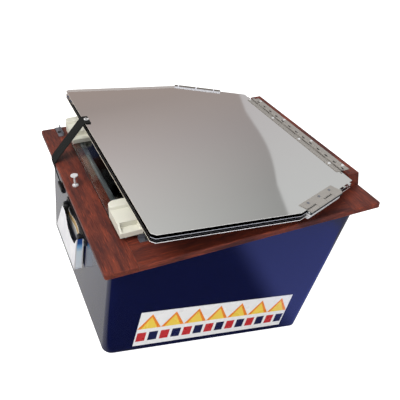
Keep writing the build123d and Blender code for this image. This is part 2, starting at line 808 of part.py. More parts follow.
# ---- handle ----
def make_handle():
    """A drop handle: a bail between two ears of a plate, hanging flat along the low wall."""
    half = handle_length / 2
    place = Pos(0, handle_y, handle_pivot_height)
    pivot = place * Pos(-handle_stand_off, 0, 0)
    hang = Rot(0, low_wall_lean, 0)
    bend = 12.0
    path = FilletPolyline(
        (0, -half, 0),
        (0, -half, -handle_drop),
        (0, half, -handle_drop),
        (0, half, 0),
        radius=bend,
    )
    section = Plane((0, -half, 0), z_dir=(0, 0, -1)) * Circle(handle_rod_radius)
    bail = sweep(section, path=path)
    ear_y = half + handle_rod_radius + handle_ear_gap
    for side in (-1, 1):
        e0, e1 = side * half - handle_rod_radius, side * half + handle_rod_radius
        bail += chamfer(cylinder_along_y(handle_rod_radius, e0, e1).edges(), 0.6)
        y0, y1 = sorted((side * half, side * (ear_y + handle_ear + 0.5)))
        bail += cylinder_along_y(handle_pin_radius, y0, y1)
    grip_half = half - bend - 8.0
    grip = cylinder_along_y(handle_grip_radius, -grip_half, grip_half)
    grip = chamfer(grip.edges(), 1.2)
    bail += Pos(0, 0, -handle_drop) * grip
    keep_node("handle_bail", low_wall_frame * pivot * hang, bail)
    plate_half = handle_plate_length / 2
    rise = handle_plate_height / 2
    plate = box_between(-handle_plate_sheet, 0, -plate_half, plate_half, -rise, rise)
    plate = fillet(plate.edges().filter_by(Axis.X), 6)
    screws = []
    for side in (-1, 1):
        y0, y1 = sorted((side * ear_y, side * (ear_y + handle_ear)))
        ear = box_between(-handle_stand_off - 4.5, -handle_plate_sheet / 2, y0, y1, -5.5, 5.5)
        outer_edges = [e for e in ear.edges().filter_by(Axis.Y) if e.center().X < -handle_stand_off]
        plate += fillet(outer_edges, 4.0)
        head = Rot(0, -90, 0) * fastener(3.0, 1.8, 1.2)
        screws.append(place * (Pos(-handle_plate_sheet, side * (plate_half - 5.5), 0) * head))
    bore = cylinder_along_y(handle_pin_radius + handle_bearing_gap, -plate_half, plate_half)
    plate -= Pos(-handle_stand_off, 0, 0) * bore
    keep_node("handle_plate", low_wall_frame, place * plate)
    keep_node("handle_screws", low_wall_frame, *screws)


def make_card_sleeve():
    """A blank card sleeve round the handle's bail, wider at the foot, with a scooped outer panel."""
    bottom = sleeve_top_height - sleeve_height

    walls = []
    for grow in (sleeve_card, 0):
        near_x = -sleeve_inner_gap - sleeve_card + grow
        foot_x = near_x - sleeve_bottom_depth - 2 * grow
        mouth_x = near_x - sleeve_top_depth - 2 * grow
        near_y = sleeve_front_y - grow
        side_outline = [
            (foot_x, bottom),
            (near_x, bottom),
            (near_x, sleeve_top_height),
            (mouth_x, sleeve_top_height),
        ]
        end_outline = [
            (near_y, bottom),
            (sleeve_back_bottom_y + grow, bottom),
            (sleeve_back_top_y + grow, sleeve_top_height),
            (near_y, sleeve_top_height),
        ]
        walls.append(tapered_block(side_outline, end_outline))
    sleeve = walls[0] - walls[1]
    scoop_half = (sleeve_back_top_y - sleeve_front_y) / 2 - 9.0
    middle_y = (sleeve_back_top_y + sleeve_front_y) / 2
    scoop = Ellipse(scoop_half, sleeve_scoop)
    cutter = extrude(scoop, amount=sleeve_bottom_depth)
    outwards = Rot(0, -90, 0) * Rot(0, 0, 90)
    cutter = Pos(-sleeve_top_depth / 2 - sleeve_card, middle_y, sleeve_top_height) * outwards * cutter
    keep_node("card_sleeve", low_wall_frame, sleeve - cutter)


# ---- levelling tray ----
def make_tray():
    half_x = tray_length / 2
    half_y = tray_width / 2
    plate = extrude(RectangleRounded(tray_length, tray_width, 12), amount=tray_rim)
    hollow_outline = RectangleRounded(tray_length - 2 * tray_sheet, tray_width - 2 * tray_sheet, 11)
    hollow = extrude(hollow_outline, amount=tray_rim)
    tray = Pos(0, 0, tray_floor_height) * (plate - Pos(0, 0, tray_sheet) * hollow)
    for side in (-1, 1):
        y0, y1 = sorted((side * half_y, side * (half_y - 2.0)))
        arm_top = tray_pivot_height + tray_arm_width / 2
        arm = [
            (-half_x * 0.8, tray_floor_height),
            (-tray_arm_width / 2, tray_pivot_height - 4),
            (-tray_arm_width / 2, arm_top),
            (tray_arm_width / 2, arm_top),
            (tray_arm_width / 2, tray_pivot_height - 4),
            (half_x * 0.8, tray_floor_height),
        ]
        inner_arm = [
            (-half_x * 0.8 + 26, tray_floor_height + tray_rim + 2),
            (0, tray_pivot_height - 22),
            (half_x * 0.8 - 26, tray_floor_height + tray_rim + 2),
        ]
        web = prism_along_y(arm, 2.0) - prism_along_y(inner_arm, 4.0)
        tray += Pos(0, (y0 + y1) / 2, 0) * web
    bore = cylinder_along_y(tray_pin_radius + tray_pin_gap, -half_y - 5, half_y + 5)
    tray -= Pos(0, 0, tray_pivot_height) * bore
    keep_node("levelling_tray", Location(), tray)
    pins = []
    for side in (-1, 1):
        wall_y = window_width / 2
        y0, y1 = sorted((side * (half_y - 5.0), side * wall_y))
        pin = cylinder_along_y(tray_pin_radius, y0, y1)
        b0, b1 = sorted((side * (half_y + 0.6), side * wall_y))
        pin += cylinder_along_y(tray_boss_radius, b0, b1)
        c0, c1 = sorted((side * (half_y - 5.0), side * (half_y - 2.6)))
        pin += cylinder_along_y(tray_pin_radius + 2.5, c0, c1)
        pins.append(Pos(0, 0, tray_pivot_height) * pin)
    keep_node("tray_pivots", Location(), *pins)


def make_thermometer():
    """A dial thermometer on the high wall of the chamber, facing the glass."""
    foot_x = chamber_floor_length / 2
    rim = deck_frame * Location((window_length / 2, 0, 0))
    slope = degrees(atan((rim.position.X - foot_x) / (rim.position.Z - chamber_floor_height)))
    along = (thermometer_height - chamber_floor_height) / cos(radians(slope))
    wall = Location((foot_x, 0, chamber_floor_height), (0, slope, 0))
    body = Cylinder(thermometer_radius, thermometer_depth, align=(Align.CENTER, Align.CENTER, Align.MIN))
    body = chamfer(body.edges().group_by(Axis.Z)[-1], 1.5)
    lens_room = Cylinder(thermometer_radius - 3, 3, align=(Align.CENTER, Align.CENTER, Align.MAX))
    body -= Pos(0, 0, thermometer_depth + 0.01) * lens_room
    lens = Cylinder(thermometer_radius - 3.3, 1.0, align=(Align.CENTER, Align.CENTER, Align.MAX))
    lens = Pos(0, 0, thermometer_depth - 0.4) * lens
    place = wall * Location((0, 0, along), (0, -90, 0))
    keep_node("thermometer_case", place, body)
    keep_node("thermometer_lens", place, lens)


# ---- rear leg ----
def make_leg():
    """A drilled bar in a guide on the high wall, held by a thumb knob."""
    gap = leg_clearance
    inner_half = leg_width / 2 + gap
    outer_half = inner_half + guide_sheet
    bar_x = gap
    top_x = bar_x + leg_thickness + gap
    guide_top = guide_bottom + guide_height
    guide = box_between(0, top_x + guide_sheet, -outer_half, outer_half, guide_bottom, guide_top)
    channel = box_between(-1, top_x, -inner_half, inner_half, guide_bottom - 1, guide_top + 1)
    guide -= channel
    for side in (-1, 1):
        y0, y1 = sorted((side * outer_half, side * (outer_half + guide_flange)))
        guide += box_between(0, guide_sheet, y0, y1, guide_bottom, guide_top)
    knob_z = guide_bottom + guide_height / 2
    stud_hole = Pos(top_x + 1, 0, knob_z) * Rot(0, 90, 0) * Cylinder(knob_stud_radius + running_gap, 12)
    guide -= stud_hole
    keep_node("leg_guide", high_wall_frame, guide)
    bottom = leg_floor_gap
    half = leg_width / 2
    bar = box_between(bar_x, bar_x + leg_thickness, -half, half, bottom, leg_top)
    bar = fillet(bar.edges().filter_by(Axis.X), 4)
    for index in range(leg_hole_count):
        z = bottom + 30 + index * (leg_length - 50) / (leg_hole_count - 1)
        bar -= Pos(bar_x, 0, z) * Rot(0, 90, 0) * Cylinder(leg_hole_radius, 30)
    foot = box_between(bar_x, bar_x + foot_length, -half, half, bottom, bottom + leg_thickness)
    foot = fillet([e for e in foot.edges().filter_by(Axis.Z) if e.center().X > bar_x + 5], 6)
    keep_node("leg_bar", high_wall_frame, bar + foot)
    knob = Cylinder(knob_radius, knob_height, align=(Align.CENTER, Align.CENTER, Align.MIN))
    knob = chamfer(knob.edges().group_by(Axis.Z)[-1], 1.5)
    for index in range(6):
        groove = Rot(0, 0, index * 60) * Pos(knob_radius + 1.6, 0, 0) * Cylinder(3.0, 40)
        knob -= groove
    stud_length = guide_sheet + 0.6 + gap / 2 + 0.1
    stud = Cylinder(knob_stud_radius, stud_length, align=(Align.CENTER, Align.CENTER, Align.MAX))
    knob += Pos(0, 0, 0.1) * stud
    place = Pos(top_x + guide_sheet + 0.6, 0, knob_z) * Rot(0, 90, 0)
    keep_node("leg_knob", high_wall_frame, place * knob)
    screws = []
    for side in (-1, 1):
        for end in (0.2, 0.8):
            y = side * (outer_half + guide_flange * 0.5)
            head = Rot(0, 90, 0) * fastener(3.2, 1.8, 1.2)
            screws.append(Pos(guide_sheet, y, guide_bottom + guide_height * end) * head)
    keep_node("leg_guide_screws", high_wall_frame, *screws)


keep_node("case_shell", Location(), make_case())
keep_node("insulation", Location(), make_insulation())
keep_node("oven_chamber", Location(), make_chamber())
make_boards()
keep_node("door_gasket", deck_frame, make_gasket())
keep_node("glass_door", deck_frame, make_glass())
make_door_hinges()
make_latches()
make_glass_stops()
make_thumb_screw()
make_hinge_block()
make_long_hinge()
make_reflectors()
make_fold_hinge("first_fold_hinge", -1, 0)
make_fold_hinge("second_fold_hinge", 1, 1)
make_fold_hinge("third_fold_hinge", -1, 2)
make_strap()
make_handle()
make_card_sleeve()
make_tray()
make_thermometer()
make_leg()

os.makedirs("parts", exist_ok=True)
for name, solids in parts.items():
    shape = solids[0] if len(solids) == 1 else Compound(children=solids)
    export_step(shape, f"parts/{name}.step")
print(len(parts), "nodes")
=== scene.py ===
import math

import bpy
import numpy as np
from mathutils import Matrix, Vector


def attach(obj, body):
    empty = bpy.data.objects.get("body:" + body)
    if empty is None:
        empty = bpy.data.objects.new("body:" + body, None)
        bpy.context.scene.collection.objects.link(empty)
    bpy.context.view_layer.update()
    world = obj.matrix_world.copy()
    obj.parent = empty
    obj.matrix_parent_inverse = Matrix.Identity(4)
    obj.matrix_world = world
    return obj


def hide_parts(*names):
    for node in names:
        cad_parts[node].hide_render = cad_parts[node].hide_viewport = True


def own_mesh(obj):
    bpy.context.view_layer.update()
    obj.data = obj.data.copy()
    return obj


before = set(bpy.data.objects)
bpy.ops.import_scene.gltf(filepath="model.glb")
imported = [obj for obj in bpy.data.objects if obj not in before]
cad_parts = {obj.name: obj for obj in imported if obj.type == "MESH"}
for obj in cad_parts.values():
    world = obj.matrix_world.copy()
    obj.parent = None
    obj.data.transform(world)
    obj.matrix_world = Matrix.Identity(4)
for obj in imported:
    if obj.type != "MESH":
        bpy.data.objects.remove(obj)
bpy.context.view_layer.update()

scene = bpy.context.scene

# the cooker's own planes: deck and folded stack slope about Y, the walls lean out as they rise
planes = {
    "deckTilt": 12.9, "stackDrop": 6.3,  # degrees; the stack lies flatter than the deck by stackDrop
    "deckOrigin": (-0.002, 0.0, 0.2563), "pinRun": 0.211, "pinHeight": 0.0292,  # metres; the long hinge's pin
    "lowLean": 6.2, "frontLean": 4.7,  # degrees
    "lowWallFoot": 197.1, "frontWallFoot": 200.9,  # millimetres from the origin, at the floor
}


def slopeAxes(degrees):  # up along the slope, and square to it
    c, s = math.cos(math.radians(degrees)), math.sin(math.radians(degrees))
    return np.array([c, 0.0, s]), np.array([-s, 0.0, c])


deckX, deckUp = slopeAxes(planes["deckTilt"])
stackX, stackUp = slopeAxes(planes["deckTilt"] - planes["stackDrop"])
deckOrigin = np.array(planes["deckOrigin"])
stackOrigin = deckOrigin + deckX * planes["pinRun"] + deckUp * planes["pinHeight"]


def onDeck(x, y, z):  # millimetres on the deck's plane to a place in metres
    return deckOrigin + deckX * (x / 1000) + np.array([0, y / 1000, 0]) + deckUp * (z / 1000)


def onStack(x, y, z):  # the same on the folded reflectors, from the long hinge's pin
    return stackOrigin + stackX * (x / 1000) + np.array([0, y / 1000, 0]) + stackUp * (z / 1000)


def onLowWall(off, y, z):  # the same on the low wall, off millimetres outside it and z up along it
    lean = math.radians(planes["lowLean"])
    c, s = math.cos(lean), math.sin(lean)
    return np.stack([-planes["lowWallFoot"] - off * c - z * s, y + 0 * z, -off * s + z * c], -1) / 1000


# node helpers
def addNode(tree, kind, inputs=None, **settings):
    node = tree.nodes.new(kind)
    for key, value in settings.items():
        setattr(node, key, value)
    for key, value in (inputs or {}).items():
        if isinstance(value, bpy.types.NodeSocket):
            tree.links.new(value, node.inputs[key])
        else:
            node.inputs[key].default_value = value
    return node


def mathNode(tree, operation, a, b=0.0, clamp=False):
    return addNode(tree, "ShaderNodeMath", {0: a, 1: b}, operation=operation, use_clamp=clamp).outputs[0]


def plus(tree, a, b):
    return mathNode(tree, "ADD", a, b)


def minus(tree, a, b):
    return mathNode(tree, "SUBTRACT", a, b)


def times(tree, a, b):
    return mathNode(tree, "MULTIPLY", a, b)


def dot(tree, vector, direction):
    node = addNode(tree, "ShaderNodeVectorMath", {0: vector, 1: direction}, operation="DOT_PRODUCT")
    return node.outputs["Value"]


def xyz(tree, vector):
    return list(addNode(tree, "ShaderNodeSeparateXYZ", {0: vector}).outputs)


def ownUv(tree):  # the u and v that a new piece's grid was made with
    return xyz(tree, tree.nodes.new("ShaderNodeTexCoord").outputs["UV"])[:2]


def noise(tree, vector, scale, detail, roughness=0.5, distortion=0.0):
    inputs = {"Vector": vector, "Scale": scale, "Detail": detail, "Roughness": roughness, "Distortion": distortion}
    return addNode(tree, "ShaderNodeTexNoise", inputs).outputs[0]


def stretch(tree, vector, scale):
    return addNode(tree, "ShaderNodeMapping", {0: vector, 3: scale}).outputs[0]


def spread(tree, value, low, high, newLow=0.0, newHigh=1.0):  # a straight rescale, held at both ends
    inputs = {0: value, 1: low, 2: high, 3: newLow, 4: newHigh}
    return addNode(tree, "ShaderNodeMapRange", inputs).outputs[0]


def between(tree, value, low, high):  # a soft step from 0 to 1 as the value passes from low to high
    node = addNode(tree, "ShaderNodeMapRange", {0: value, 1: low, 2: high}, interpolation_type="SMOOTHSTEP")
    return node.outputs[0]


def held(tree, value, low, high):
    return addNode(tree, "ShaderNodeClamp", {0: value, 1: low, 2: high}).outputs[0]


def rgb(tree, red, green, blue):
    return addNode(tree, "ShaderNodeCombineColor", {0: red, 1: green, 2: blue}).outputs[0]


def mixColour(tree, factor, a, b, blend="MIX"):
    node = addNode(tree, "ShaderNodeMix", {0: factor, 6: a, 7: b}, data_type="RGBA", blend_type=blend)
    return node.outputs[2]


def shaderNode(tree, kind, *inputs):  # inputs in the order in which the node shows them
    return addNode(tree, "ShaderNode" + kind, dict(enumerate(inputs))).outputs[0]


def ramp(tree, factor, stops, interpolation="LINEAR"):
    node = addNode(tree, "ShaderNodeValToRGB", {0: factor})
    node.color_ramp.interpolation = interpolation
    elements = node.color_ramp.elements
    while len(elements) < len(stops):
        elements.new(0.5)
    for element, (place, colour) in zip(elements, stops):
        element.position = place
        element.color = colour if len(colour) == 4 else (*colour, 1.0)
    return node.outputs[0]


def grey(value):
    return (value, value, value, 1.0)


def newGroup(name, inputs, outputs):
    group = bpy.data.node_groups.new(name, "ShaderNodeTree")
    for label, kind, value in inputs:
        socket = group.interface.new_socket(label, in_out="INPUT", socket_type=kind)
        if value is not None:
            socket.default_value = value
    for label, kind in outputs:
        group.interface.new_socket(label, in_out="OUTPUT", socket_type=kind)
    return group, group.nodes.new("NodeGroupInput").outputs, group.nodes.new("NodeGroupOutput").inputs


def useGroup(tree, group, inputs):
    return addNode(tree, "ShaderNodeGroup", inputs, node_tree=group).outputs


# effects that several finishes share
def buildWoodGrain():
    # long streaks and pores run along X of the vector; figure comes from slow noise; brighter glints from the pore
    # noise are painted into the colour
    t, given, out = newGroup(
        "woodGrain",
        [
            ("Vector", "NodeSocketVector", None),
            ("Light", "NodeSocketColor", (0.3, 0.1, 0.06, 1)),
            ("Dark", "NodeSocketColor", (0.1, 0.03, 0.02, 1)),
            ("Figure", "NodeSocketFloat", 1.0),
        ],
        [("Color", "NodeSocketColor"), ("Height", "NodeSocketFloat"), ("Roughness", "NodeSocketFloat")],
    )
    vector, light, dark, amount = given[0], given[1], given[2], given[3]
    streaks = noise(t, stretch(t, vector, (7.0, 110.0, 110.0)), 1.0, 6.0, 0.7, 0.4)
    pores = noise(t, stretch(t, vector, (55.0, 640.0, 640.0)), 1.0, 2.0, 0.6)
    figure = noise(t, stretch(t, vector, (7.0, 22.0, 22.0)), 1.3, 3.0, distortion=1.2)
    tone = plus(t, times(t, streaks, 0.55), times(t, times(t, figure, amount), 0.45))
    tone = spread(t, tone, 0.38, 0.64)
    base = mixColour(t, tone, dark, light)
    # painted glints: flecks lifted towards a brighter copy of the light wood colour
    glint = times(t, spread(t, pores, 0.56, 0.72), plus(t, 0.2, times(t, tone, 0.6)))
    paintedGlintColour = mixColour(t, 1.0, light, (2.1, 1.75, 1.4, 1), "MULTIPLY")
    base = mixColour(t, glint, base, paintedGlintColour)
    poreMask = spread(t, pores, 0.44, 0.3)
    base = mixColour(t, times(t, poreMask, 0.75), base, dark)
    t.links.new(base, out[0])
    t.links.new(minus(t, times(t, streaks, 0.3), times(t, poreMask, 0.7)), out[1])
    t.links.new(plus(t, 0.42, times(t, poreMask, 0.2)), out[2])
    return t


def buildRubbed():
    # handling marks: fine scratches stretched one way, and soft smudges
    t, given, out = newGroup(
        "rubbed",
        [
            ("Vector", "NodeSocketVector", None),
            ("Stretch", "NodeSocketVector", (20.0, 600.0, 600.0)),
            ("Smudge Scale", "NodeSocketFloat", 14.0),
        ],
        [("Scratches", "NodeSocketFloat"), ("Smudges", "NodeSocketFloat")],
    )
    lines = addNode(t, "ShaderNodeVectorMath", {0: given[0], 1: given[1]}, operation="MULTIPLY").outputs[0]
    t.links.new(noise(t, lines, 1.0, 3.0, 0.6), out[0])
    t.links.new(noise(t, given[0], given[2], 4.0, 0.55, 0.8), out[1])
    return t


def buildEdgeWearAndHighlight():
    # pale where the rounded-off normal turns away from the true one, broken up by noise: partly edge wear, partly a
    # painted highlight along the edges
    t, given, out = newGroup(
        "edgeWearAndHighlight",
        [("Vector", "NodeSocketVector", None), ("Amount", "NodeSocketFloat", 1.0), ("Scale", "NodeSocketFloat", 90.0)],
        [("Mask", "NodeSocketFloat")],
    )
    rounded = addNode(t, "ShaderNodeBevel", {"Radius": 0.0012}, samples=4).outputs[0]
    agree = dot(t, rounded, t.nodes.new("ShaderNodeNewGeometry").outputs["Normal"])
    edge = times(t, spread(t, agree, 0.995, 0.93), given[1])
    chips = spread(t, noise(t, given[0], given[2], 3.0), 0.4, 0.6)
    t.links.new(mathNode(t, "MULTIPLY", edge, chips, clamp=True), out[0])
    return t


woodGrain = buildWoodGrain()
rubbed = buildRubbed()
edgeWearAndHighlight = buildEdgeWearAndHighlight()


def newFinish(name, constants):
    mat = bpy.data.materials.new(name)
    mat.use_nodes = True
    tree = mat.node_tree
    shader = tree.nodes["Principled BSDF"]
    for key, value in constants.items():
        shader.inputs[key].default_value = value
    where = tree.nodes.new("ShaderNodeTexCoord").outputs["Object"]
    return mat, tree, shader, where


def rubMarks(tree, where, lines, smudgeScale):  # scratches and smudges
    marks = useGroup(tree, rubbed, {"Vector": where, "Stretch": lines, "Smudge Scale": smudgeScale})
    return marks[0], marks[1]


def feed(tree, shader, **sockets):  # keyword baseColor goes to the input Base Color, and so on
    names = {"baseColor": "Base Color", "roughness": "Roughness", "metallic": "Metallic"}
    for key, socket in sockets.items():
        tree.links.new(socket, shader.inputs[names[key]])


def bumpFrom(tree, shader, height, strength, distance):
    bump = addNode(tree, "ShaderNodeBump", {"Height": height, "Strength": strength, "Distance": distance})
    tree.links.new(bump.outputs[0], shader.inputs["Normal"])


# finishes
woodLook = {"light": (0.205, 0.042, 0.022), "dark": (0.058, 0.0165, 0.0145), "wornAndLit": (0.20, 0.075, 0.05, 1)}


def woodFinish(name, turn, shift, level=1.0):
    mat, tree, shader, where = newFinish(name, {"Specular IOR Level": 0.22})
    turned = addNode(tree, "ShaderNodeMapping", {0: where, 1: shift, 2: turn}).outputs[0]
    light, dark = (tuple(c * level for c in woodLook[k]) + (1,) for k in ("light", "dark"))
    colour, height, rough = useGroup(tree, woodGrain, {"Vector": turned, "Light": light, "Dark": dark, "Figure": 1.0})
    # pale edges: partly wear, partly a painted highlight
    wearAndHighlight = useGroup(tree, edgeWearAndHighlight, {"Vector": where, "Amount": 0.4, "Scale": 60.0})[0]
    feed(tree, shader, baseColor=mixColour(tree, wearAndHighlight, colour, woodLook["wornAndLit"]), roughness=rough)
    bumpFrom(tree, shader, height, 0.3, 0.0006)
    return mat


caseLook = {"deep": (0.0024, 0.0042, 0.034, 1), "clear": (0.0034, 0.0058, 0.042, 1), "wornAndLit": (0.03, 0.035, 0.10, 1)}


def caseFinish():
    mat, tree, shader, where = newFinish(
        "navyGelcoat", {"Specular IOR Level": 0.5, "IOR": 1.5, "Coat Weight": 0.6, "Coat Roughness": 0.03}
    )
    scratches, smudges = rubMarks(tree, where, (40.0, 40.0, 500.0), 7.0)
    # lighter navy on the edges: partly wear, partly a painted highlight
    wearAndHighlight = useGroup(tree, edgeWearAndHighlight, {"Vector": where, "Amount": 0.2, "Scale": 35.0})[0]
    colour = mixColour(tree, wearAndHighlight, mixColour(tree, smudges, caseLook["deep"], caseLook["clear"]), caseLook["wornAndLit"])
    feed(tree, shader, baseColor=colour, roughness=spread(tree, scratches, 0.3, 0.75, 0.12, 0.2))
    bumpFrom(tree, shader, noise(tree, where, 9.0, 1.0), 0.12, 0.004)
    return mat


def metalFinish(name, colour, rough, lines, bump, metallic):
    mat, tree, shader, where = newFinish(name, {"Metallic": metallic})
    scratches, smudges = rubMarks(tree, where, lines, 12.0)
    dull = tuple(c * 0.86 for c in colour) + (1,)
    mixed = plus(tree, times(tree, scratches, 0.5), times(tree, smudges, 0.5))
    value = spread(tree, mixed, 0.3, 0.7, rough - 0.04, rough + 0.04)
    feed(tree, shader, baseColor=mixColour(tree, smudges, dull, colour + (1,)), roughness=value)
    bumpFrom(tree, shader, scratches, bump, 0.0003)
    return mat


steelLook = {
    "leaf": (0.40, 0.375, 0.345), "leafDull": (0.33, 0.31, 0.285), "bright": (0.92, 0.93, 0.94),
    "stop": (0.26, 0.27, 0.31),
}
mirrorLook = {
    "clean": (0.90, 0.90, 0.885, 1), "smudged": (0.88, 0.88, 0.865, 1), "rough": (0.03, 0.05),
    "edgeTurn": (0.6, 0.4), "lowTurn": (0.75, 0.95),  # cosines to the stack's up and to its low side
    "edgeRough": 0.4, "edgeMetallic": 0.15, "hemSoft": 0.0004, "hemDull": 0.3,
}


def mirrorFinish(name, paintedEdgeTone, paintedLowEdgeTone, hem=None):
    # polished on its faces; on the sheared edges, told apart by the surface's own direction, a tone of each sheet's
    # own, partly raw metal and partly painted light and shade between the stacked sheets;
    # the second tone is for the edge at the low side, and beyond the Y of hem lies a duller band
    look = mirrorLook
    mat, tree, shader, where = newFinish(name, {})
    scratches, smudges = rubMarks(tree, where, (26.0, 420.0, 420.0), 5.0)
    normal = tree.nodes.new("ShaderNodeNewGeometry").outputs["Normal"]
    turns = {"vector_type": "NORMAL", "convert_from": "WORLD", "convert_to": "OBJECT"}
    face = addNode(tree, "ShaderNodeVectorTransform", {0: normal}, **turns).outputs[0]
    edge = between(tree, mathNode(tree, "ABSOLUTE", dot(tree, face, tuple(stackUp))), *look["edgeTurn"])
    if hem is not None:
        band = between(tree, xyz(tree, where)[1], hem - look["hemSoft"], hem + look["hemSoft"])
        edge = mathNode(tree, "MAXIMUM", edge, times(tree, band, look["hemDull"]))
    lowSide = between(tree, dot(tree, face, tuple(-stackX)), *look["lowTurn"])
    rim = mixColour(tree, lowSide, paintedEdgeTone + (1,), paintedLowEdgeTone + (1,))
    tint = mixColour(tree, smudges, look["smudged"], look["clean"])
    rough = plus(tree, spread(tree, smudges, 0.3, 0.7, *look["rough"]), times(tree, edge, look["edgeRough"]))
    metallic = minus(tree, 1.0, times(tree, edge, 1 - look["edgeMetallic"]))
    feed(tree, shader, baseColor=mixColour(tree, edge, tint, rim), metallic=metallic, roughness=rough)
    bumpFrom(tree, shader, scratches, 0.02, 0.0003)
    return mat


hingeLook = {
    "pitch": 0.0254, "pinHalf": (0.0019, 0.0012), "slitHalf": (0.19, 0.15), "slitShade": (0.02, 0.018, 0.018, 1),
    "foldFrom": (0.020, 0.022), "gapTop": (-0.0042, -0.0050), "gapFoot": (-0.0092, -0.0084),
    "gap": (0.018, 0.028, 0.036, 1), "litLowLeaf": (0.66, 0.66, 0.67, 1),
}


def hingeFinish():
    # satin leaves; short slits of painted shade once every pitch on the long hinge's pin line; on the fold hinges,
    # which lie farther from that line, a band of painted shade between two heights of the stack and painted light on
    # the leaf under it
    look = hingeLook
    mat, tree, shader, where = newFinish("hingeSteel", {"Metallic": 0.3, "Roughness": 0.46})
    scratches, smudges = rubMarks(tree, where, (300.0, 40.0, 300.0), 18.0)
    tint = mixColour(tree, smudges, steelLook["leafDull"] + (1,), steelLook["leaf"] + (1,))
    away = addNode(tree, "ShaderNodeVectorMath", {0: where, 1: tuple(stackOrigin)}, operation="SUBTRACT").outputs[0]
    across = mathNode(tree, "ABSOLUTE", dot(tree, away, tuple(stackX)))
    height = dot(tree, away, tuple(stackUp))
    along = mathNode(tree, "FRACT", mathNode(tree, "DIVIDE", xyz(tree, where)[1], look["pitch"]))
    fromMiddle = mathNode(tree, "ABSOLUTE", minus(tree, along, 0.5))
    # painted shade in the slits between the knuckles
    slitShade = times(tree, between(tree, across, *look["pinHalf"]), between(tree, fromMiddle, *look["slitHalf"]))
    folded = between(tree, across, *look["foldFrom"])
    # painted shade in a band on the fold hinges, and painted light on the leaf below it
    gap = times(tree, between(tree, height, *look["gapTop"]), between(tree, height, *look["gapFoot"]))
    under = between(tree, height, *look["gapFoot"][::-1])
    tint = mixColour(tree, times(tree, folded, gap), tint, look["gap"])
    tint = mixColour(tree, times(tree, folded, under), tint, look["litLowLeaf"])
    feed(tree, shader, baseColor=mixColour(tree, slitShade, tint, look["slitShade"]))
    bumpFrom(tree, shader, scratches, 0.08, 0.0003)
    return mat


def plasticFinish(name, colour, rough, wearAndHighlightColour, wearAndHighlight=0.4, bump=0.06, scale=900.0):
    mat, tree, shader, where = newFinish(name, {"Specular IOR Level": 0.5})
    smudges = rubMarks(tree, where, (90.0, 90.0, 90.0), 22.0)[1]
    tint = mixColour(tree, smudges, tuple(c * 0.9 for c in colour) + (1,), colour + (1,))
    # pale edges: partly wear, partly a painted highlight
    edges = useGroup(tree, edgeWearAndHighlight, {"Vector": where, "Amount": wearAndHighlight, "Scale": 120.0})[0]
    value = spread(tree, smudges, 0.3, 0.7, rough - 0.05, rough + 0.08)
    feed(tree, shader, baseColor=mixColour(tree, edges, tint, wearAndHighlightColour + (1,)), roughness=value)
    bumpFrom(tree, shader, noise(tree, where, scale, 1.0), bump, 0.0002)
    return mat


def glassFinish():
    mat, tree, shader, where = newFinish(
        "paneGlass", {"Transmission Weight": 1.0, "IOR": 1.48, "Metallic": 0.0, "Base Color": (0.93, 0.97, 0.95, 1)}
    )
    smudges = rubMarks(tree, where, (30.0, 30.0, 30.0), 16.0)[1]
    feed(tree, shader, roughness=spread(tree, smudges, 0.45, 0.75, 0.0, 0.06))
    return mat


acrossBoards = (0, 0, math.radians(90))  # turns the grain to run along Y
upDeck = (0, math.radians(planes["deckTilt"]), 0)  # and along the deck's slope
finishes = {
    "case": caseFinish(),
    "woodAlongY": woodFinish("mahoganyAlongY", acrossBoards, (0.3, 0.1, 0.0)),
    "woodAlongX": woodFinish("mahoganyAlongX", upDeck, (0.9, 0.4, 0.2)),
    "woodBlock": woodFinish("mahoganyBlock", acrossBoards, (2.3, 1.7, 0.6), 0.9),
    "leaf": hingeFinish(),
    "stopSteel": metalFinish("stopSteel", steelLook["stop"], 0.3, (60.0, 60.0, 300.0), 0.05, 0.75),
    "galvanised": metalFinish("galvanisedSteel", steelLook["leaf"], 0.38, (40.0, 40.0, 300.0), 0.08, 0.5),
    "bright": metalFinish("brightSteel", steelLook["bright"], 0.16, (200.0, 200.0, 200.0), 0.03, 0.5),
    # the edge tones paint the light and shade between the stacked sheets: pale where lit, near black where shaded
    "mirror": mirrorFinish("reflectorSheet", (0.70, 0.69, 0.68), (0.70, 0.66, 0.58), hem=0.2525),
    "mirrorSecond": mirrorFinish("reflectorSheetSecond", (0.45, 0.46, 0.52), (0.04, 0.04, 0.04)),
    "mirrorShadedEdges": mirrorFinish("reflectorSheetShadedEdges", (0.03, 0.03, 0.035), (0.03, 0.03, 0.035)),
    "mirrorLitEdges": mirrorFinish("reflectorSheetLitEdges", (0.93, 0.92, 0.95), (0.97, 0.92, 0.76)),
    "blackSheet": plasticFinish("blackEnamel", (0.008, 0.008, 0.009), 0.42, (0.05, 0.05, 0.05)),
    # black rubber given a blue-grey colour as a painted sheen
    "gasketSheen": plasticFinish("gasketRubberSheen", (0.13, 0.145, 0.155), 0.6, (0.25, 0.26, 0.28)),
    "blackPlastic": plasticFinish("blackMoulding", (0.010, 0.010, 0.012), 0.38, (0.06, 0.06, 0.06)),
    "blackScrew": plasticFinish("blackenedSteel", (0.008, 0.008, 0.009), 0.3, (0.1, 0.1, 0.1)),
    "cream": plasticFinish("creamMoulding", (0.76, 0.745, 0.64), 0.36, (0.86, 0.86, 0.80), wearAndHighlight=0.8),
    "lagging": plasticFinish("glassWool", (0.7, 0.6, 0.3), 0.9, (0.8, 0.7, 0.4), bump=0.8, scale=300.0),
    "glass": glassFinish(),
}
